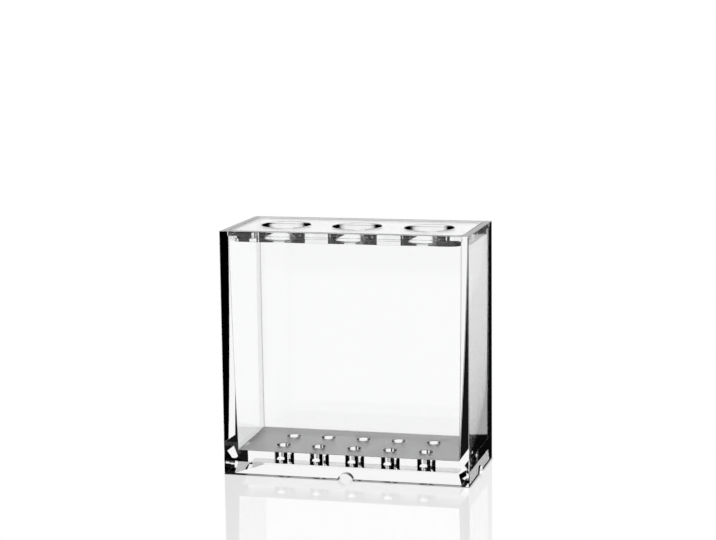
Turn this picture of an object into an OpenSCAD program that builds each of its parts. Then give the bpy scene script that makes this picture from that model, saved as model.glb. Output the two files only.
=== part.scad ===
// Clear rectangular holder for the bathroom shelf: a drafted case with a drained
// floor, and a lid with three round holes that drops into the rim and lifts out.
// Origin at the centre of the footprint on the table, +Z up, front towards -Y.

/* [Case] */
// Outside width of the case, left to right
case_w = 116; // [104:1:140]
// Outside depth of the case, front to back
case_d = 56; // [50:1:70]
// Outside height of the case, from the table to the rim
case_h = 114; // [80:0.5:140]
// Thickness of the walls at the rim, beside the lid
rim_wall = 3.3; // [2.8:0.1:3.8]
// Width of the ledge round the mouth that carries the lid
seat_w = 0.5; // [0.4:0.1:0.9]
// Thickness of the walls where they meet the floor
foot_wall = 5.8; // [5:0.1:7]
// Radius of the inside corner between the walls and the floor
floor_fillet = 1.2; // [0.6:0.1:2]

/* [Floor] */
// Height of the floor's top face above the table
floor_z = 10.8; // [9:0.1:14]
// Thickness of the floor
floor_t = 5.4; // [3:0.1:5.5]
// Diameter of each drain hole
drain_d = 6.2; // [4:0.1:7]
// Width of the eased lip at the top of each drain hole
drain_lip = 0.4; // [0.1:0.1:0.8]
// Spacing of the drain holes, the same along a row and between the rows
drain_pitch = 17.1; // [14:0.1:18]
// Number of drain holes in a row
drain_columns = 5; // [3:1:5]
// Number of rows of drain holes
drain_rows = 2; // [1:1:2]

/* [Skirt] */
// Width of the flat land that stands on the table
land_w = 4.1; // [2.5:0.1:5]
// Thickness of the skirt where it meets the underside of the floor
skirt_root = 5.8; // [5.5:0.1:8]
// Radius of the half-round notches in the skirt's bottom edge, front and both ends
notch_r = 3.75; // [2:0.05:4]
// How far the notch's centre lies below the table
notch_drop = 0.6; // [0:0.1:1]

/* [Lid] */
// Thickness of the lid's flange, the part that lies on the ledge
flange_t = 2.4; // [1.5:0.1:3]
// Depth of the plug under the flange
plug_t = 2.7; // [1.5:0.1:4]
// Radius of the plug's upright corners
plug_corner_r = 6; // [3:0.5:8]
// Diameter of the holes in the lid
hole_d = 23; // [16:0.5:24]
// Width of lid left between each outer hole and the end of the flange
hole_margin = 8.8; // [6:0.1:12]
// Clearance round the lid, between its edges and the case
lid_gap = 0.2; // [0.1:0.05:0.3]

/* [Hidden] */
$fn = 96;
// Number of holes in the lid
hole_count = 3;
// How far a cut runs past the face it opens
overrun = 1;
// Number of straight pieces in the arc of an inside corner
arc_steps = 6;
seat_z = case_h - flange_t;
plug_z = seat_z - plug_t;
seat_wall = rim_wall + seat_w;
under_z = floor_z - floor_t;
flange_w = case_w - 2 * (rim_wall + lid_gap);
flange_d = case_d - 2 * (rim_wall + lid_gap);
hole_pitch = (flange_w - 2 * hole_margin - hole_d) / (hole_count - 1);
plug_inset = wall_at(plug_z) + lid_gap;
plug_w = case_w - 2 * plug_inset;
plug_d = case_d - 2 * plug_inset;

// Size at height z on the straight line from a at height za to b at height zb
function between(z, za, a, zb, b) = a + (b - a) * (z - za) / (zb - za);

// Thickness of the drafted case wall at height z
function wall_at(z) = between(z, floor_z, foot_wall, seat_z, seat_wall);

// Thickness of the skirt at height z
function skirt_at(z) = between(z, 0, land_w, under_z, skirt_root);

// Right half of the cavity's section, from the middle of the floor to the rim,
// for a case that is size across
function cavity_half(size) =
    let (foot = size / 2 - foot_wall,
         top = size / 2 - wall_at(case_h),
         draft = atan((top - foot) / (case_h - floor_z)),
         centre = foot - floor_fillet * (1 - sin(draft)) / cos(draft))
    [for (i = [0:arc_steps])
        let (turn = (90 - draft) * i / arc_steps - 90)
        [centre + floor_fillet * cos(turn), floor_z + floor_fillet * (1 + sin(turn))],
     [top, case_h]];

// Right half of the recess under the floor, for a case that is size across
function recess_half(size) =
    [[size / 2 - skirt_at(-overrun), -overrun], [size / 2 - skirt_root, under_z]];

// Both halves of a section, as one closed outline
function both_halves(right) =
    concat(right, [for (i = [len(right) - 1:-1:0]) [-right[i][0], right[i][1]]]);

// Hollow whose section is wide_half seen from the front and deep_half seen from the side
module drafted_hollow(wide_half, deep_half) {
    intersection() {
        rotate([90, 0, 0])
            linear_extrude(case_d, center = true) polygon(both_halves(wide_half));
        rotate([90, 0, 90])
            linear_extrude(case_w, center = true) polygon(both_halves(deep_half));
    }
}

// Block centred on X and Y, standing on height z
module block(w, d, h, z) {
    translate([-w / 2, -d / 2, z]) cube([w, d, h]);
}

// Places its children at each drain hole
module at_drains() {
    for (i = [0:drain_columns - 1], j = [0:drain_rows - 1])
        translate([(i - (drain_columns - 1) / 2) * drain_pitch,
                   (j - (drain_rows - 1) / 2) * drain_pitch, 0])
            children();
}

// Straight hole through the floor with an eased lip
module drain() {
    lip_h = drain_lip + overrun;
    translate([0, 0, under_z - overrun])
        cylinder(h = floor_t + 2 * overrun, d = drain_d);
    translate([0, 0, floor_z - drain_lip])
        cylinder(h = lip_h, d1 = drain_d, d2 = drain_d + 2 * lip_h);
}

// Half-round notches in the middle of the skirt's front and of both its ends
module notches() {
    translate([0, 0, -notch_drop]) {
        rotate([90, 0, 0]) cylinder(h = case_d / 2 + overrun, r = notch_r);
        rotate([0, 90, 0]) cylinder(h = case_w + 2 * overrun, r = notch_r, center = true);
    }
}

// Plug under the lid: a block with round upright corners
module plug() {
    flat_w = plug_w - 2 * plug_corner_r;
    flat_d = plug_d - 2 * plug_corner_r;
    block(flat_w, plug_d, plug_t, plug_z);
    block(plug_w, flat_d, plug_t, plug_z);
    for (x = [-1, 1] * flat_w / 2, y = [-1, 1] * flat_d / 2)
        translate([x, y, plug_z]) cylinder(h = plug_t, r = plug_corner_r);
}

// One moulding: four drafted walls, the drained floor and the skirt it stands on
module case() {
    color("gainsboro", 0.35)
    difference() {
        block(case_w, case_d, case_h, 0);
        drafted_hollow(cavity_half(case_w), cavity_half(case_d));
        block(case_w - 2 * rim_wall, case_d - 2 * rim_wall, flange_t + overrun, seat_z);
        drafted_hollow(recess_half(case_w), recess_half(case_d));
        at_drains() drain();
        notches();
    }
}

// Loose lid: a flange on the ledge, a plug that centres it, and three round holes
module lid() {
    color("whitesmoke", 0.35)
    difference() {
        union() {
            block(flange_w, flange_d, flange_t, seat_z);
            plug();
        }
        for (i = [0:hole_count - 1])
            translate([(i - (hole_count - 1) / 2) * hole_pitch, 0, plug_z - overrun])
                cylinder(h = plug_t + flange_t + 2 * overrun, d = hole_d);
    }
}

case();
lid();
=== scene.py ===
# %% [markdown]
# A clear toothbrush holder, dressed in Blender
#
# The real object is two mouldings of clear plastic: a drafted case with a drained
# floor, and a loose lid with three round holes. There is nothing inside to look at,
# so its whole look comes from light that bends through it and bounces inside its
# walls. That asks for closed solids with true wall thickness and small round edges,
# and for a studio that is bright in some directions and dark in others.

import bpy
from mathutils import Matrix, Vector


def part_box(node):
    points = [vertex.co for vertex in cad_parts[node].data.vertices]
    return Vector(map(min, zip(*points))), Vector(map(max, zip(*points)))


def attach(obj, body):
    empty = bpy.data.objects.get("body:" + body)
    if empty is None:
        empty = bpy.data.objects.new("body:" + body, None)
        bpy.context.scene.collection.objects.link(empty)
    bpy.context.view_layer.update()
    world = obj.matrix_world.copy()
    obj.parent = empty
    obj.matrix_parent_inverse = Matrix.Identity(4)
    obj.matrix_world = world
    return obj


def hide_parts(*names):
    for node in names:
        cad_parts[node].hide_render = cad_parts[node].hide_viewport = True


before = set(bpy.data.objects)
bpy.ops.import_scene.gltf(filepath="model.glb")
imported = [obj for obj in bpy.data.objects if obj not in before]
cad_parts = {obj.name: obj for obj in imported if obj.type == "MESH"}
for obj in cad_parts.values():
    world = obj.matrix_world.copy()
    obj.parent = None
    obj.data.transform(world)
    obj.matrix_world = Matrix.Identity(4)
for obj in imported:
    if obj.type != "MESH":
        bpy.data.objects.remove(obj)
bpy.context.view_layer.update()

# %% Imports and the measured boxes
import math

import bmesh
import bpy
from mathutils import Matrix, Vector

MM = 0.001
case_low, case_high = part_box("case")
lid_low, lid_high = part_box("lid")
print("case", case_low, case_high)
print("lid", lid_low, lid_high)

# %% [markdown]
# The camera comes first, because every size is judged through it. Its place and its
# angles were found from the corners of the case in the photograph. A camera could be
# aimed with a Track To constraint, but the picture is also turned a little about the
# line of sight, so its three axes are written out here and put in its matrix.

# %% Camera
CAMERA_PLACE = Vector((225.2, -868.5, 231.15)) * MM
CAMERA_YAW = math.radians(14.53)
CAMERA_PITCH = math.radians(8.73)
CAMERA_ROLL = math.radians(-0.68)
PHOTO_WIDTH = 716
FOCAL_PIXELS = 1954


def make_camera():
    """Camera at the photograph's place and angle."""
    sight = Vector((-math.sin(CAMERA_YAW) * math.cos(CAMERA_PITCH),
                    math.cos(CAMERA_YAW) * math.cos(CAMERA_PITCH),
                    -math.sin(CAMERA_PITCH)))
    level = Vector((math.cos(CAMERA_YAW), math.sin(CAMERA_YAW), 0))
    overhead = level.cross(sight)
    turn, roll = math.cos(CAMERA_ROLL), math.sin(CAMERA_ROLL)
    right = turn * level + roll * overhead
    up = turn * overhead - roll * level
    data = bpy.data.cameras.new("camera")
    data.lens = data.sensor_width * FOCAL_PIXELS / PHOTO_WIDTH
    camera = bpy.data.objects.new("camera", data)
    bpy.context.scene.collection.objects.link(camera)
    placed = Matrix((right, up, -sight)).transposed().to_4x4()
    placed.translation = CAMERA_PLACE
    camera.matrix_world = placed
    bpy.context.scene.camera = camera
    return camera


camera = make_camera()
print("camera lens", round(camera.data.lens, 2), "mm")

# %% [markdown]
# Helpers for modelling by hand in code. An operator acts on whatever is selected, so
# each helper first clears the selection and then picks faces or edges by their place.
# A face looks up where its normal's Z is over FLAT, and stands upright where that Z
# is under STANDING. An edge is upright where it rises over STEEP times its run.

# %% Selection helpers
TINY = 0.02 * MM
FLAT = 0.9
STANDING = 0.1
STEEP = 5


def make_active(piece):
    """Leaves piece as the only selected object and makes it active."""
    bpy.ops.object.select_all(action="DESELECT")
    bpy.context.view_layer.objects.active = piece
    piece.select_set(True)


def start_edit(piece):
    """Puts piece in edit mode with nothing selected."""
    make_active(piece)
    bpy.ops.object.mode_set(mode="EDIT")
    bpy.ops.mesh.select_all(action="DESELECT")


def end_edit():
    """Back to object mode."""
    bpy.ops.object.mode_set(mode="OBJECT")


def pick(kind, wanted):
    """Selects the faces or edges in edit mode that wanted says yes to, and counts them."""
    data = bpy.context.object.data
    bpy.ops.mesh.select_mode(type=kind)
    bpy.ops.mesh.select_all(action="DESELECT")
    mesh = bmesh.from_edit_mesh(data)
    chosen = mesh.faces if kind == "FACE" else mesh.edges
    count = 0
    for part in chosen:
        if wanted(part):
            part.select_set(True)
            count += 1
    mesh.select_flush_mode()
    bmesh.update_edit_mesh(data)
    return count


def apply_modifier(piece, kind, **settings):
    """Adds a modifier with these settings to piece and applies it at once."""
    make_active(piece)
    bpy.ops.object.modifier_add(type=kind)
    modifier = piece.modifiers[-1]
    for name, value in settings.items():
        setattr(modifier, name, value)
    bpy.ops.object.modifier_apply(modifier=modifier.name)


def near(first, second):
    """True where two lengths agree."""
    return abs(first - second) < TINY


def lies_at(edge, height):
    """True where both ends of an edge lie at a height."""
    return all(near(end.co.z, height) for end in edge.verts)


def upright(edge):
    """True for an edge that runs mostly along Z."""
    run = edge.verts[0].co - edge.verts[1].co
    return abs(run.z) > STEEP * math.hypot(run.x, run.y)


def looks_up(face):
    """True for a face whose outside is on top."""
    return face.normal.z > FLAT


def looks_down(face):
    """True for a face whose outside is underneath."""
    return face.normal.z < -FLAT


print("helpers ready")

# %% [markdown]
# The case. A real one is moulded in one shot, so it is modelled as one closed block:
# a cube at its outside size, whose top face is inset and pushed down to make the
# ledge that carries the lid, inset again and pushed down to the floor, and whose
# bottom face is inset and pushed up for the recess. Pushing a face in and then
# scaling it is what gives the walls their draft. Thick walls also shrink as they
# cool, a little more in the middle than at the ends, so the inner faces bow outwards
# by a fifth of a millimetre. That is why the cavity is pushed down in ten steps.

# %% Case sizes
RIM_WALL = 3.3 * MM
SEAT_WIDTH = 0.5 * MM
FOOT_WALL = 5.8 * MM
LEFT_FOOT, RIGHT_FOOT = 5.3 * MM, 5.55 * MM
WALL_BOW = 0.22 * MM
WALL_STEPS = 10
FLOOR_TOP = 10.8 * MM
FLOOR_THICK = 5.4 * MM
LAND_WIDTH = 4.1 * MM
SKIRT_ROOT = 5.8 * MM
FLANGE_THICK = 2.4 * MM
case_size = case_high - case_low
rim_height = case_high.z
seat_height = rim_height - FLANGE_THICK
recess_top = FLOOR_TOP - FLOOR_THICK
print("case size in mm", [round(side / MM, 2) for side in case_size])

# %% Block helpers


def box_block(name, low, high):
    """A cube primitive at the size and place of a box."""
    bpy.ops.object.select_all(action="DESELECT")
    bpy.ops.mesh.primitive_cube_add(size=1, location=(low + high) / 2)
    block = bpy.context.object
    block.name = name
    block.data.name = name
    block.scale = high - low
    bpy.ops.object.transform_apply(location=True, rotation=True, scale=True)
    return block


def push_face(wide, deep, height, middle=0):
    """Extrudes the selected flat face to a height and makes it wide by deep round x = middle."""
    bpy.ops.mesh.extrude_region_move()
    mesh = bmesh.from_edit_mesh(bpy.context.object.data)
    corners = [corner.co for corner in mesh.verts if corner.select]
    low_x, high_x = min(corner.x for corner in corners), max(corner.x for corner in corners)
    old_deep = max(corner.y for corner in corners) - min(corner.y for corner in corners)
    bpy.ops.transform.translate(value=(middle - (low_x + high_x) / 2, 0, height - corners[0].z))
    bpy.ops.transform.resize(value=(wide / (high_x - low_x), deep / old_deep, 1),
                             center_override=(middle, 0, height))


def inset_by(width):
    """Insets the selected face by width."""
    bpy.ops.mesh.inset(thickness=width, depth=0)


print("block helpers ready")

# %% Case block


def wall_at(height, foot=FOOT_WALL):
    """Thickness at a height of a wall that is foot thick at the floor.

    The bow is a parabola: none at the floor and the ledge, and WALL_BOW half-way up.
    """
    up = (height - FLOOR_TOP) / (seat_height - FLOOR_TOP)
    return foot + (RIM_WALL + SEAT_WIDTH - foot) * up - WALL_BOW * 4 * up * (1 - up)


def step_height(step):
    """Height that the cavity has reached after a step down from the ledge."""
    return seat_height + (FLOOR_TOP - seat_height) * step / WALL_STEPS


case = box_block("clear_case", case_low, case_high)
start_edit(case)
pick("FACE", looks_up)
inset_by(RIM_WALL)
push_face(case_size.x - 2 * RIM_WALL, case_size.y - 2 * RIM_WALL, seat_height)
inset_by(SEAT_WIDTH)
for step in range(1, WALL_STEPS + 1):
    height = step_height(step)
    left, right, front = (wall_at(height, foot) for foot in (LEFT_FOOT, RIGHT_FOOT, FOOT_WALL))
    push_face(case_size.x - left - right, case_size.y - 2 * front, height, (left - right) / 2)
end_edit()
print("case with cavity", len(case.data.polygons), "faces")

# %% [markdown]
# The core that forms the cavity gives a little under the pressure of the melt, so
# the two end walls are not quite parallel to the outside: seen from above, each inner
# face leans by about a degree or half of one, and most at the floor. It can't be seen
# as a shape, but it moves the black bands in the corners by millimetres, so it is
# copied here. The inner edges at each step are turned about their own middle.

# %% Lean of the end walls
LEFT_LEAN, RIGHT_LEAN = math.radians(1.2), math.radians(0.6)
END_WALL_REACH = 10 * MM


def end_wall_edge(edge, height, side):
    """The inner edge at a height of the end wall on the left (side -1) or the right (1)."""
    return lies_at(edge, height) and all(
        case_high.x - END_WALL_REACH < side * end.co.x < case_high.x - RIM_WALL
        for end in edge.verts)


start_edit(case)
for step in range(1, WALL_STEPS + 1):
    height = step_height(step)
    for side, lean in ((-1, LEFT_LEAN), (1, RIGHT_LEAN)):
        pick("EDGE", lambda edge: end_wall_edge(edge, height, side))
        picked = [end.co.x for end in bmesh.from_edit_mesh(case.data).verts if end.select]
        bpy.ops.transform.rotate(value=-lean * step / WALL_STEPS, orient_axis="Z",
                                 center_override=(sum(picked) / 2, 0, height))
for corner in bmesh.from_edit_mesh(case.data).verts:
    if near(corner.co.z, FLOOR_TOP):
        wall = case_high.x - abs(corner.co.x)
        print("floor corner", [round(x / MM, 2) for x in corner.co], "wall", round(wall / MM, 2))
end_edit()

# %% Skirt recess
start_edit(case)
pick("FACE", looks_down)
inset_by(LAND_WIDTH)
push_face(case_size.x - 2 * SKIRT_ROOT, case_size.y - 2 * SKIRT_ROOT, recess_top)
end_edit()
print("case with skirt", len(case.data.polygons), "faces")

# %% [markdown]
# Round edges. No moulded edge is perfectly sharp: the inside corners carry a fillet
# from the mould and the outside ones are broken by a hair. On clear plastic that
# matters more than anywhere else, because each round edge is a little lens that
# draws a dark or bright line. The bevels go on before the holes are cut, while the
# edges are still long and clean.

# %% Edge helpers
CORNER_MARGIN = 1 * MM
FOLD = 0.5
ROUND_PROFILE = 0.5


def bevel_picked(width, steps):
    """Rounds the selected edges."""
    bpy.ops.mesh.bevel(offset_type="OFFSET", offset=width, segments=steps,
                       profile=ROUND_PROFILE, affect="EDGES", clamp_overlap=True)


def inside(point, margin):
    """True where a point lies more than margin inside the case's four sides."""
    return abs(point.x) < case_high.x - margin and abs(point.y) < case_high.y - margin


def cavity_corner(edge):
    """The four upright inside corners of the cavity."""
    return (upright(edge) and max(end.co.z for end in edge.verts) > FLOOR_TOP + CORNER_MARGIN
            and min(end.co.z for end in edge.verts) > recess_top
            and all(inside(end.co, RIM_WALL + TINY) for end in edge.verts))


def floor_edge(edge):
    """The edges where the cavity's walls meet the floor."""
    if not lies_at(edge, FLOOR_TOP) or len(edge.link_faces) != 2:
        return False
    return abs(edge.link_faces[0].normal.z - edge.link_faces[1].normal.z) > FOLD


def outer_corner(edge):
    """The four upright outside corners of the case."""
    return upright(edge) and all(
        near(abs(end.co.x), case_high.x) and near(abs(end.co.y), case_high.y)
        for end in edge.verts)


print("edge helpers ready")

# %% Case corners
FLOOR_FILLET = 1.2 * MM
FRONT_FILLET, BACK_FILLET = 0.3 * MM, 0.7 * MM
OUTER_EDGE = 0.3 * MM
FILLET_STEPS = 6
EDGE_STEPS = 3

start_edit(case)
for side, fillet in ((-1, FRONT_FILLET), (1, BACK_FILLET)):
    count = pick("EDGE", lambda edge: cavity_corner(edge) and side * edge.verts[0].co.y > 0)
    bevel_picked(fillet, EDGE_STEPS)
    print("cavity corner edges", count)
print("floor edges", pick("EDGE", floor_edge))
bevel_picked(FLOOR_FILLET, FILLET_STEPS)
print("outer corners", pick("EDGE", outer_corner))
bevel_picked(OUTER_EDGE, EDGE_STEPS)
end_edit()
print("case with fillets", len(case.data.polygons), "faces")

# %% Rim and foot edges
RIM_EDGE = 0.2 * MM
FOOT_EDGE = 0.4 * MM
HARD_RADIANS = 1


def hard_at(height):
    """Says yes to sharp edges that lie at a height."""
    def wanted(edge):
        if not lies_at(edge, height) or len(edge.link_faces) != 2:
            return False
        return edge.link_faces[0].normal.angle(edge.link_faces[1].normal) > HARD_RADIANS
    return wanted


start_edit(case)
print("rim edges", pick("EDGE", hard_at(rim_height)))
bevel_picked(RIM_EDGE, EDGE_STEPS)
print("foot edges", pick("EDGE", hard_at(case_low.z)))
bevel_picked(FOOT_EDGE, EDGE_STEPS)
end_edit()
print("case with broken edges", len(case.data.polygons), "faces")

# %% [markdown]
# Drain holes and notches. They could be cut by hand, face by face, but a boolean
# keeps them truly round, and it is what a drill or a core pin does. The drain
# cutter is a cylinder whose top ring is pushed out in small steps, so that it leaves
# a rounded lip in the floor. The holes are cut one at a time: all ten in one boolean
# left one of them out.

# %% Cutting helpers
OVERRUN = 1 * MM


def centred_row(count, pitch):
    """Places of count things in a row, pitch apart, with the middle of the row at 0."""
    return [(number - (count - 1) / 2) * pitch for number in range(count)]


def cutter_cylinder(radius, low, high, place, steps):
    """An upright cylinder primitive at place, from height low to height high."""
    bpy.ops.object.select_all(action="DESELECT")
    bpy.ops.mesh.primitive_cylinder_add(
        vertices=steps, radius=radius, depth=high - low,
        location=(place[0], place[1], (low + high) / 2))
    bpy.ops.object.transform_apply(location=True, rotation=True, scale=True)
    return bpy.context.object


def cut(piece, cutters):
    """Takes the cutters out of piece in one boolean and deletes them."""
    tool = cutters[0]
    make_active(tool)
    for cutter in cutters[1:]:
        cutter.select_set(True)
    if len(cutters) > 1:
        bpy.ops.object.join()
    apply_modifier(piece, "BOOLEAN", operation="DIFFERENCE", solver="EXACT",
                   use_self=True, object=tool)
    bpy.data.objects.remove(tool)


print("cutting helpers ready")

# %% Drain holes
DRAIN_RADIUS = 3.1 * MM
DRAIN_LIP = 0.4 * MM
DRAIN_PITCH = 17.1 * MM
DRAIN_COLUMNS = 5
DRAIN_ROWS = 2
DRAIN_STEPS = 64
LIP_STEPS = 4


def drain_cutter(place):
    """Cutter for one drain hole with a rounded lip."""
    neck = FLOOR_TOP - DRAIN_LIP
    cutter = cutter_cylinder(DRAIN_RADIUS, recess_top - OVERRUN, neck, place, DRAIN_STEPS)
    start_edit(cutter)
    pick("FACE", looks_up)
    radius, height = DRAIN_RADIUS, neck
    for step in range(1, LIP_STEPS + 1):
        turn = math.pi / 2 * step / LIP_STEPS
        wider = DRAIN_RADIUS + DRAIN_LIP * (1 - math.cos(turn))
        higher = neck + DRAIN_LIP * math.sin(turn)
        bpy.ops.mesh.extrude_region_move()
        bpy.ops.transform.translate(value=(0, 0, higher - height))
        bpy.ops.transform.resize(value=(wider / radius, wider / radius, 1),
                                 center_override=(place[0], place[1], higher))
        radius, height = wider, higher
    bpy.ops.mesh.extrude_region_move()
    bpy.ops.transform.translate(value=(0, 0, OVERRUN))
    end_edit()
    return cutter


drain_places = [(x, y) for x in centred_row(DRAIN_COLUMNS, DRAIN_PITCH)
                for y in centred_row(DRAIN_ROWS, DRAIN_PITCH)]
for place in drain_places:
    cut(case, [drain_cutter(place)])
print("case with", len(drain_places), "drain holes", len(case.data.polygons), "faces")

# %% Notches
NOTCH_RADIUS = 3.75 * MM
NOTCH_DROP = 0.6 * MM
NOTCH_STEPS = 96


def notch_cutter(start, end):
    """A lying cylinder from one point to another, NOTCH_DROP below the table."""
    run = end - start
    bpy.ops.object.select_all(action="DESELECT")
    bpy.ops.mesh.primitive_cylinder_add(
        vertices=NOTCH_STEPS, radius=NOTCH_RADIUS, depth=run.length,
        location=(start + end) / 2 - Vector((0, 0, NOTCH_DROP)),
        rotation=run.to_track_quat("Z", "Y").to_euler())
    bpy.ops.object.transform_apply(location=True, rotation=True, scale=True)
    return bpy.context.object


centre = Vector((0, 0, 0))
front_end = Vector((0, case_low.y - OVERRUN, 0))
left_end = Vector((case_low.x - OVERRUN, 0, 0))
right_end = Vector((case_high.x + OVERRUN, 0, 0))
cut(case, [notch_cutter(front_end, centre), notch_cutter(left_end, right_end)])
print("case with notches", len(case.data.polygons), "faces")

# %% [markdown]
# The lid. It is a flange that lies on the ledge over a plug with round corners that
# centres it. Both start as cubes, the plug's upright edges are rounded, and the two
# are joined by a union. The holes come last, with a broken edge at top and bottom.
# A hair of air is left under the flange: two clear solids that share a face would
# show no line between them, and the real ones do.

# %% Lid block
FLANGE_AIR = 0.04 * MM
LID_GAP = 0.2 * MM
PLUG_OVERLAP = 1 * MM
PLUG_CORNER = 6 * MM
CORNER_STEPS = 16


def make_lid():
    """Flange and plug as one solid, before its holes."""
    flange_low = Vector((lid_low.x, lid_low.y, seat_height + FLANGE_AIR))
    flange = box_block("clear_lid", flange_low, lid_high)
    start_edit(flange)
    pick("EDGE", lambda edge: True)
    bevel_picked(RIM_EDGE, EDGE_STEPS)
    end_edit()
    plug_inset = wall_at(lid_low.z) + LID_GAP
    plug_low = Vector((case_low.x + plug_inset, case_low.y + plug_inset, lid_low.z))
    plug_high = Vector((-plug_low.x, -plug_low.y, seat_height + PLUG_OVERLAP))
    plug = box_block("plug", plug_low, plug_high)
    start_edit(plug)
    pick("EDGE", upright)
    bevel_picked(PLUG_CORNER, CORNER_STEPS)
    pick("EDGE", lambda edge: lies_at(edge, lid_low.z))
    bevel_picked(RIM_EDGE, EDGE_STEPS)
    end_edit()
    apply_modifier(flange, "BOOLEAN", operation="UNION", solver="EXACT", object=plug)
    bpy.data.objects.remove(plug)
    return flange


lid = make_lid()
print("lid block", len(lid.data.polygons), "faces")

# %% Lid holes
HOLE_RADIUS = 11.5 * MM
HOLE_PITCH = 34.2 * MM
HOLE_COUNT = 3
HOLE_EDGE = 0.3 * MM
HOLE_STEPS = 128
hole_places = [(x, 0) for x in centred_row(HOLE_COUNT, HOLE_PITCH)]


def hole_rim(edge):
    """The round edges of the three holes, at the top and the bottom of the lid."""
    if len(edge.link_faces) != 2:
        return False
    if not (lies_at(edge, lid_high.z) or lies_at(edge, lid_low.z)):
        return False
    return any(
        all(near(math.hypot(end.co.x - x, end.co.y - y), HOLE_RADIUS) for end in edge.verts)
        for x, y in hole_places)


cut(lid, [cutter_cylinder(HOLE_RADIUS, lid_low.z - OVERRUN, lid_high.z + OVERRUN, place, HOLE_STEPS)
          for place in hole_places])
start_edit(lid)
print("hole edges", pick("EDGE", hole_rim))
bevel_picked(HOLE_EDGE, EDGE_STEPS)
end_edit()
print("lid", len(lid.data.polygons), "faces")

# %% [markdown]
# Smooth shading. The round walls have to look round, but the flat faces have to stay
# optically flat, or they would bend what is seen through them. Shading smooth by
# angle keeps sharp edges sharp, and weighted normals make the large flat faces win
# over the little bevels beside them.

# %% Smooth
SMOOTH_ANGLE = math.radians(32)
LARGE_FACE_WEIGHT = 100


def smooth(piece):
    """Smooth shading that leaves flat faces flat."""
    make_active(piece)
    bpy.ops.object.shade_smooth_by_angle(angle=SMOOTH_ANGLE)
    apply_modifier(piece, "WEIGHTED_NORMAL", keep_sharp=True, weight=LARGE_FACE_WEIGHT,
                   mode="FACE_AREA")


smooth(case)
smooth(lid)
print("smoothed")

# %% [markdown]
# Surface detail, shared by all the clear finishes. A moulded clear part is never
# optically perfect: the melt leaves shallow ripples a few centimetres long, wiping
# leaves hairlines, and handling leaves a faint haze in patches. All three are wanted
# on the case and on the lid, so they are built once, as a node group. A group makes
# the numbers that change over a surface, and the shader itself stays in the material.

# %% Node helpers
EVENLY = (1, 1, 1)


def link(tree, start, end):
    """Joins an output socket to an input socket."""
    tree.links.new(start, end)


def math_node(tree, operation, first, second=None):
    """A Math node whose inputs are numbers or other nodes' outputs."""
    node = tree.nodes.new("ShaderNodeMath")
    node.operation = operation
    for socket, value in zip(node.inputs, (first, second)):
        if value is None:
            continue
        if isinstance(value, (int, float)):
            socket.default_value = value
        else:
            link(tree, value, socket)
    return node.outputs[0]


def step_node(tree, value, low, high):
    """Rises smoothly from 0 to 1 while value goes from low to high."""
    node = tree.nodes.new("ShaderNodeMapRange")
    node.interpolation_type = "SMOOTHSTEP"
    node.inputs["From Min"].default_value = low
    node.inputs["From Max"].default_value = high
    link(tree, value, node.inputs["Value"])
    return node.outputs["Result"]


def noise_node(tree, place, size, stretch=EVENLY, detail=2.0):
    """Noise with features of about size metres, drawn out along stretch."""
    mapping = tree.nodes.new("ShaderNodeMapping")
    mapping.inputs["Scale"].default_value = [1 / (size * along) for along in stretch]
    link(tree, place, mapping.inputs["Vector"])
    noise = tree.nodes.new("ShaderNodeTexNoise")
    noise.inputs["Scale"].default_value = 1
    noise.inputs["Detail"].default_value = detail
    link(tree, mapping.outputs[0], noise.inputs["Vector"])
    return noise.outputs["Fac"]


def scaled_node(tree, vector, factor):
    """A vector or colour times a number that another node puts out."""
    node = tree.nodes.new("ShaderNodeVectorMath")
    node.operation = "SCALE"
    link(tree, vector, node.inputs[0])
    link(tree, factor, node.inputs["Scale"])
    return node.outputs[0]


NUMBER, COLOUR = "NodeSocketFloat", "NodeSocketColor"


def new_group(name, ins, outs):
    """An empty node group with named number inputs and number or colour outputs."""
    group = bpy.data.node_groups.new(name, "ShaderNodeTree")
    for socket in ins:
        group.interface.new_socket(socket, in_out="INPUT", socket_type=NUMBER)
    for socket, kind in outs:
        group.interface.new_socket(socket, in_out="OUTPUT", socket_type=kind)
    return group, group.nodes.new("NodeGroupInput"), group.nodes.new("NodeGroupOutput")


print("node helpers ready")

# %% Moulded surface group
RIPPLE_SIZE = 28 * MM
RIPPLE_STRETCH = (1, 1, 1.6)
PATCH_SIZE = 9 * MM
PATCH_EDGE = (0.55, 0.75)
PATCH_DULLING = 0.004
HAIR_SIZE = 0.12 * MM
UPRIGHT_HAIRS = (1, 1, 90)
LYING_HAIRS = (70, 70, 1)
HAIR_EDGE = (0.74, 0.8)
RED_SHARE = 0.998


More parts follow.
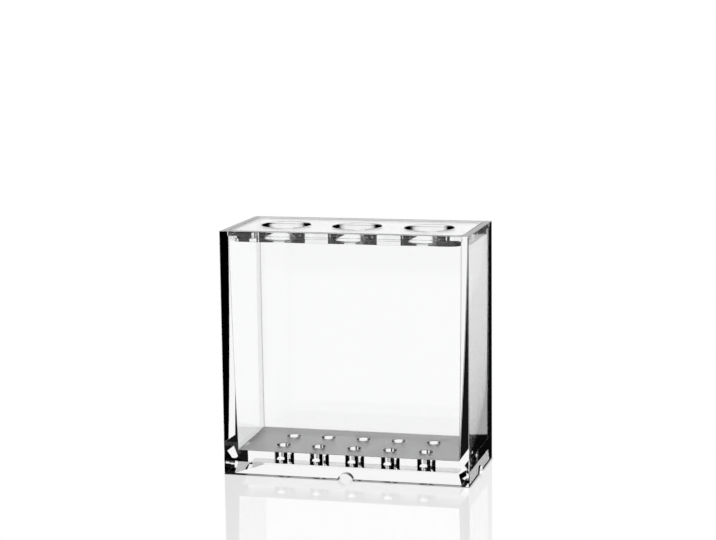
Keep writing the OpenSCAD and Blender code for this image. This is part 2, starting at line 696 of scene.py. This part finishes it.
def moulded_surface():
    """Ripples in Height, haze and hairlines in Roughness, and in Color a faint cast times a
    brightness that paints shade where it is under 1.
    """
    group, given, made = new_group(
        "moulded_surface", ("Polish", "Haze", "Hairlines", "Painted Brightness"),
        (("Color", COLOUR), ("Roughness", NUMBER), ("Height", NUMBER)))
    place = group.nodes.new("ShaderNodeTexCoord").outputs["Object"]
    ripple = noise_node(group, place, RIPPLE_SIZE, RIPPLE_STRETCH, detail=0.0)
    link(group, ripple, made.inputs["Height"])

    patches = step_node(group, noise_node(group, place, PATCH_SIZE, detail=3.0), *PATCH_EDGE)
    upright_lines = noise_node(group, place, HAIR_SIZE, UPRIGHT_HAIRS, detail=0.0)
    lying_lines = noise_node(group, place, HAIR_SIZE, LYING_HAIRS, detail=0.0)
    lines = step_node(group, math_node(group, "MAXIMUM", upright_lines, lying_lines), *HAIR_EDGE)
    haze = math_node(group, "MULTIPLY", patches, given.outputs["Haze"])
    patchy_lines = math_node(group, "MULTIPLY", lines, patches)
    hairs = math_node(group, "MULTIPLY", patchy_lines, given.outputs["Hairlines"])
    worn = math_node(group, "ADD", haze, hairs)
    rough = math_node(group, "ADD", given.outputs["Polish"], worn)
    link(group, rough, made.inputs["Roughness"])

    dulling = math_node(group, "MULTIPLY", patches, PATCH_DULLING)
    bright = math_node(group, "SUBTRACT", 1.0, dulling)
    # A brightness under 1 darkens the colour: painted shade, not a tint of the plastic.
    cast_and_painted_shade = math_node(group, "MULTIPLY", bright, given.outputs["Painted Brightness"])
    colour = group.nodes.new("ShaderNodeCombineColor")
    link(group, math_node(group, "MULTIPLY", cast_and_painted_shade, RED_SHARE), colour.inputs["Red"])
    link(group, cast_and_painted_shade, colour.inputs["Green"])
    link(group, cast_and_painted_shade, colour.inputs["Blue"])
    link(group, colour.outputs[0], made.inputs["Color"])
    return group


surface_group = moulded_surface()
print("group", surface_group.name, len(surface_group.nodes), "nodes")

# %% [markdown]
# Two finishes. The mould is polished nearly everywhere, which gives plastic as clear as glass. The
# top of the floor and the lower half of the fillet round it are satin, from a spark-eroded mould
# face: a fine grain that scatters what is seen through it. The satin's colour is also brought down
# to under half, which is painted shade: it stands in for the shade under the floor that is seen
# through it.
# Glass and clear plastic are one shader, Principled with its Transmission Weight at 1,
# and only the IOR tells them apart. This plastic bends light as acrylic does, at 1.49.

# %% Clear plastic material
PLASTIC_IOR = 1.49
POLISHED_FINISH = {"Polish": 0.0, "Haze": 0.004, "Hairlines": 0.05, "Painted Brightness": 1.0}
RIPPLE_DEPTH = 0.0015 * MM


def clear_plastic(name, finish, relief):
    """Principled clear plastic with the moulded surface on it, relief metres deep.

    Returns the material, its surface group node and its bump node.
    """
    material = bpy.data.materials.new(name)
    material.use_nodes = True
    tree = material.node_tree
    shader = tree.nodes["Principled BSDF"]
    shader.inputs["IOR"].default_value = PLASTIC_IOR
    shader.inputs["Transmission Weight"].default_value = 1
    surface = tree.nodes.new("ShaderNodeGroup")
    surface.node_tree = surface_group
    for socket, value in finish.items():
        surface.inputs[socket].default_value = value
    bump = tree.nodes.new("ShaderNodeBump")
    bump.inputs["Distance"].default_value = relief
    link(tree, surface.outputs["Height"], bump.inputs["Height"])
    link(tree, bump.outputs["Normal"], shader.inputs["Normal"])
    link(tree, surface.outputs["Color"], shader.inputs["Base Color"])
    link(tree, surface.outputs["Roughness"], shader.inputs["Roughness"])
    return material, surface, bump


polished, _, _ = clear_plastic("polished_clear", POLISHED_FINISH, RIPPLE_DEPTH)
print("material", polished.name)

# %% Satin floor material
# The 0.45 in this finish darkens the satin's colour: painted shade for the shade under the floor,
# as the plastic itself is clear.
SATIN_FINISH = {"Polish": 0.32, "Haze": 0.02, "Hairlines": 0.05, "Painted Brightness": 0.45}
GRAIN_DEPTH = 0.02 * MM
GRAIN_SIZE = 0.35 * MM
GRAIN_SPREAD = 0.12
CLOUD_SIZE = 14 * MM
NOISE_MEAN = 0.5


def spark_grain():
    """Fine grain of a spark-eroded mould face: Height and a spread in Roughness."""
    group, given, made = new_group(
        "spark_grain", ("Grain Size", "Spread"), (("Height", NUMBER), ("Roughness", NUMBER)))
    place = group.nodes.new("ShaderNodeTexCoord").outputs["Object"]
    grains_per_metre = math_node(group, "DIVIDE", 1.0, given.outputs["Grain Size"])
    grain = noise_node(group, scaled_node(group, place, grains_per_metre), 1.0)
    link(group, grain, made.inputs["Height"])
    clouds = math_node(group, "SUBTRACT", noise_node(group, place, CLOUD_SIZE), NOISE_MEAN)
    spread = math_node(group, "MULTIPLY", clouds, given.outputs["Spread"])
    link(group, spread, made.inputs["Roughness"])
    return group


satin, satin_surface, satin_bump = clear_plastic("satin_floor", SATIN_FINISH, GRAIN_DEPTH)
tree = satin.node_tree
grain = tree.nodes.new("ShaderNodeGroup")
grain.node_tree = spark_grain()
grain.inputs["Grain Size"].default_value = GRAIN_SIZE
grain.inputs["Spread"].default_value = GRAIN_SPREAD
rough = math_node(tree, "ADD", satin_surface.outputs["Roughness"], grain.outputs["Roughness"])
link(tree, rough, tree.nodes["Principled BSDF"].inputs["Roughness"])
link(tree, grain.outputs["Height"], satin_bump.inputs["Height"])
print("material", satin.name)

# %% [markdown]
# Hole walls. A round wall bends light sideways, and past a certain angle what it shows is no longer
# the backdrop but the dark beside it. That is what blackens the two ends of each hole, from
# whichever side one looks. Layer Weight says how steeply a surface is met, and here that darkness
# is painted into the clear plastic's colour as shade where it is met at a slant.

# %% Hole wall material
SLANT_BLEND = 0.5
SLANT_EDGE = (0.1, 0.32)

hole_wall, wall_surface, _ = clear_plastic("hole_wall", POLISHED_FINISH, RIPPLE_DEPTH)
tree = hole_wall.node_tree
slant = tree.nodes.new("ShaderNodeLayerWeight")
slant.inputs["Blend"].default_value = SLANT_BLEND
# Base Color darkened where the wall is met at a slant: painted shade.
bent = step_node(tree, slant.outputs["Facing"], *SLANT_EDGE)
straight = math_node(tree, "SUBTRACT", 1.0, bent)
colour_with_painted_shade = scaled_node(tree, wall_surface.outputs["Color"], straight)
link(tree, colour_with_painted_shade, tree.nodes["Principled BSDF"].inputs["Base Color"])
print("material", hole_wall.name)

# %% [markdown]
# Where each finish goes. A piece has one slot for each finish, and every face is
# polished until it is picked for another one: the satin floor by its height and its
# normal, and the walls of the round holes by how far they lie from a hole's axis.

# %% Finishes on the pieces
SATIN_TOP = FLOOR_TOP + FLOOR_FILLET / 2
HOLE_REACH = 2 * TINY


def round_wall(places, radius):
    """Says yes to upright faces on the walls of round holes with these places and radius."""
    def wanted(face):
        middle = face.calc_center_median()
        return abs(face.normal.z) < STANDING and any(
            math.hypot(middle.x - x, middle.y - y) < radius + HOLE_REACH for x, y in places)
    return wanted


def satin_face(face):
    """The floor's top and the lower half of its fillet, but not the drain holes' lips."""
    middle = face.calc_center_median()
    return (face.normal.z > STANDING and inside(middle, RIM_WALL)
            and FLOOR_TOP - TINY < middle.z < SATIN_TOP)


def give_slots(piece, finishes):
    """Gives piece these finishes in its slots, the first of them all over."""
    piece.data.materials.clear()
    for finish in finishes:
        piece.data.materials.append(finish)


def give_finish(piece, finish, wanted):
    """Puts a finish on the faces that wanted says yes to, and counts them."""
    start_edit(piece)
    count = pick("FACE", wanted)
    piece.active_material_index = piece.data.materials.find(finish.name)
    bpy.ops.object.material_slot_assign()
    end_edit()
    return count


give_slots(case, (polished, satin, hole_wall))
give_slots(lid, (polished, hole_wall))
print("satin faces", give_finish(case, satin, satin_face))
print("drain walls", give_finish(case, hole_wall, round_wall(drain_places, DRAIN_RADIUS)))
print("hole walls", give_finish(lid, hole_wall, round_wall(hole_places, HOLE_RADIUS)))

# %% [markdown]
# The studio. A clear part is drawn by what its surfaces send towards the eye: a path
# that ends on a white board is white and one that ends in the dark is black. So there
# are no lamps at all, but a world of white boards with dark between them, placed by
# direction. Light Path tells how often a ray was mirrored and how often it passed a
# surface, and a board can be meant for some rays only. A ray that has met nothing sees
# plain white. One that passed straight through the walls sees white where it looks from
# any of eight sides, so the holder stays clear as one walks round it. And light that
# was mirrored three times or more inside the plastic is lost, which blackens the edges.

# %% Studio boards
ANY = (0, 99)
NONE = (0, 0)
ONCE = (1, 1)
ALL_ROUND = (-181, 181)
ALL_HEIGHTS = (-90, 90)


def white_board(across, up, soft=2, level=1.0, passed=ANY, mirrored=ANY):
    """A board that spans azimuths, in degrees from +Y towards +X, and elevations.

    Only some rays see it: passed and mirrored hold the fewest and the most surfaces
    that a ray may have passed through and been mirrored by.
    """
    return {"across": across, "up": up, "soft": soft, "level": level,
            "passed": passed, "mirrored": mirrored}


boards = [
    # behind the holder on the left, and opposite, in front of it on the right
    white_board((-49, -1.5), (-50, 34)),
    white_board((131, 178.5), (-50, 34)),
    # low down and a little grey, in front on the left and opposite, behind on the right
    white_board((-152, -102), (-46, -30), soft=3, level=0.85),
    white_board((28, 78), (-46, -30), soft=3, level=0.85),
    # above the horizon, for rays that haven't passed into the plastic
    white_board(ALL_ROUND, (0, 90), soft=0.5, passed=NONE),
    # everywhere, for rays that have met nothing
    white_board(ALL_ROUND, ALL_HEIGHTS, soft=0.5, passed=NONE, mirrored=NONE),
    # behind, overhead and underfoot, for rays that were never mirrored
    white_board((-46, 1), ALL_HEIGHTS, mirrored=NONE),
    white_board(ALL_ROUND, (34, 90), mirrored=NONE),
    white_board(ALL_ROUND, (-90, -50), mirrored=NONE),
    # for rays mirrored once: by the outside, deep in the plastic, and towards the front
    white_board((10.66, 60), (-13.55, -7.7), soft=0.03, passed=NONE, mirrored=ONCE),
    white_board((4, 40), (-60, 20), passed=(3, 99), mirrored=ONCE),
    white_board((-181, -140), (-40, -8.05), soft=0.3, passed=(1, 99), mirrored=ONCE),
]
print(len(boards), "boards")

# %% Ray helpers
BETWEEN_COUNTS = 0.5
COUNT_SOFT = 0.25


def window(tree, value, low, high, soft):
    """1 while value is between low and high, with soft edges."""
    return math_node(tree, "MULTIPLY", step_node(tree, value, low - soft, low + soft),
                     step_node(tree, value, high + soft, high - soft))


def counted(tree, count, low, high):
    """1 where a whole number is from low to high."""
    return window(tree, count, low - BETWEEN_COUNTS, high + BETWEEN_COUNTS, COUNT_SOFT)


def at_least(tree, count, least):
    """1 where a whole number is least or more."""
    start = least - BETWEEN_COUNTS
    return step_node(tree, count, start - COUNT_SOFT, start + COUNT_SOFT)


print("ray helpers ready")

# %% Studio world
DARK = 0.008
SPOKE_PITCH = 45
SPOKE_EDGE = (12, 10)
WALL_PASSES = 4
LOST_MIRRORINGS = 3
WHITE = (1, 1, 1, 1)


def make_world():
    """World of white boards in the dark."""
    world = bpy.data.worlds.new("studio")
    bpy.context.scene.world = world
    world.use_nodes = True
    tree = world.node_tree
    background = tree.nodes["Background"]
    place = tree.nodes.new("ShaderNodeTexCoord")
    parts = tree.nodes.new("ShaderNodeSeparateXYZ")
    link(tree, place.outputs["Generated"], parts.inputs[0])
    turned = math_node(tree, "ARCTAN2", parts.outputs["X"], parts.outputs["Y"])
    azimuth = math_node(tree, "DEGREES", turned)
    elevation = math_node(tree, "DEGREES", math_node(tree, "ARCSINE", parts.outputs["Z"]))
    path = tree.nodes.new("ShaderNodeLightPath")
    passed, mirrored = path.outputs["Transmission Depth"], path.outputs["Glossy Depth"]

    total = DARK
    for board in boards:
        lit = math_node(tree, "MULTIPLY", window(tree, azimuth, *board["across"], board["soft"]),
                        window(tree, elevation, *board["up"], board["soft"]))
        for count, span in ((passed, board["passed"]), (mirrored, board["mirrored"])):
            if span != ANY:
                lit = math_node(tree, "MULTIPLY", lit, counted(tree, count, *span))
        shown = math_node(tree, "MULTIPLY", lit, board["level"])
        total = math_node(tree, "MAXIMUM", total, shown)

    from_spoke = math_node(tree, "PINGPONG", azimuth, SPOKE_PITCH / 2)
    spoke = step_node(tree, from_spoke, *SPOKE_EDGE)
    straight_through = math_node(tree, "MULTIPLY", counted(tree, mirrored, 0, 0),
                                 counted(tree, passed, 0, WALL_PASSES))
    ring = math_node(tree, "MULTIPLY", spoke, straight_through)
    total = math_node(tree, "MAXIMUM", total, ring)
    guided = math_node(tree, "MULTIPLY", at_least(tree, passed, 1),
                       at_least(tree, mirrored, LOST_MIRRORINGS))
    kept = math_node(tree, "SUBTRACT", 1.0, guided)
    link(tree, math_node(tree, "MULTIPLY", total, kept), background.inputs["Strength"])
    background.inputs["Color"].default_value = WHITE


make_world()
print("world made")

# %% [markdown]
# The floor. It is plain white with a gloss, so the holder stands on its own faint
# mirror image, and it darkens only in the narrow gap under the skirt's edge. An
# emission of 1 makes the white, because it has to be as white as the backdrop. Only
# the camera sees the floor. Rays that have met the plastic pass through it to the
# boards, which reach below the horizon for them.

# %% Floor
FLOOR_SIZE = 8
FLOOR_AIR = 0.1 * MM
FLOOR_IOR = 1.45
FLOOR_ROUGHNESS = 0.04
CONTACT_REACH = 1.2 * MM
CONTACT_SAMPLES = 16


def floor_material():
    """White floor with a gloss, a contact shade, and no hold on bounced rays."""
    material = bpy.data.materials.new("table")
    material.use_nodes = True
    tree = material.node_tree
    tree.nodes.clear()
    output = tree.nodes.new("ShaderNodeOutputMaterial")
    white = tree.nodes.new("ShaderNodeEmission")
    near_gap = tree.nodes.new("ShaderNodeAmbientOcclusion")
    near_gap.samples = CONTACT_SAMPLES
    near_gap.inputs["Distance"].default_value = CONTACT_REACH
    link(tree, near_gap.outputs["Color"], white.inputs["Color"])
    gloss = tree.nodes.new("ShaderNodeBsdfGlossy")
    gloss.inputs["Color"].default_value = WHITE
    gloss.inputs["Roughness"].default_value = FLOOR_ROUGHNESS
    fresnel = tree.nodes.new("ShaderNodeFresnel")
    fresnel.inputs["IOR"].default_value = FLOOR_IOR
    sheet = tree.nodes.new("ShaderNodeMixShader")
    link(tree, fresnel.outputs[0], sheet.inputs[0])
    link(tree, white.outputs[0], sheet.inputs[1])
    link(tree, gloss.outputs[0], sheet.inputs[2])
    through = tree.nodes.new("ShaderNodeBsdfTransparent")
    path = tree.nodes.new("ShaderNodeLightPath")
    bounced = math_node(tree, "SUBTRACT", 1.0, path.outputs["Is Camera Ray"])
    choice = tree.nodes.new("ShaderNodeMixShader")
    link(tree, bounced, choice.inputs[0])
    link(tree, sheet.outputs[0], choice.inputs[1])
    link(tree, through.outputs[0], choice.inputs[2])
    link(tree, choice.outputs[0], output.inputs[0])
    return material


bpy.ops.object.select_all(action="DESELECT")
bpy.ops.mesh.primitive_plane_add(size=FLOOR_SIZE, location=(0, 0, -FLOOR_AIR))
floor = bpy.context.object
floor.name = "studio_floor"
bpy.ops.object.transform_apply(location=True, rotation=True, scale=True)
floor.data.materials.append(floor_material())
print("floor made")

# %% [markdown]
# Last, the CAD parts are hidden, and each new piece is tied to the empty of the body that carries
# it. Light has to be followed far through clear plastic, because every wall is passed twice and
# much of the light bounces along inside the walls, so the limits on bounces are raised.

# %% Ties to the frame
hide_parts("case")
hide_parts("lid")
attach(case, "case_body")
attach(lid, "lid_body")
print("tied", case.name, lid.name)

# %% View and bounces
MOST_BOUNCES = 32
GLOSSY_BOUNCES = 24
TRANSPARENT_BOUNCES = 16

scene = bpy.context.scene
scene.view_settings.view_transform = "Standard"
scene.cycles.max_bounces = MOST_BOUNCES
scene.cycles.transmission_bounces = MOST_BOUNCES
scene.cycles.glossy_bounces = GLOSSY_BOUNCES
scene.cycles.transparent_max_bounces = TRANSPARENT_BOUNCES
print("bounces up to", MOST_BOUNCES)
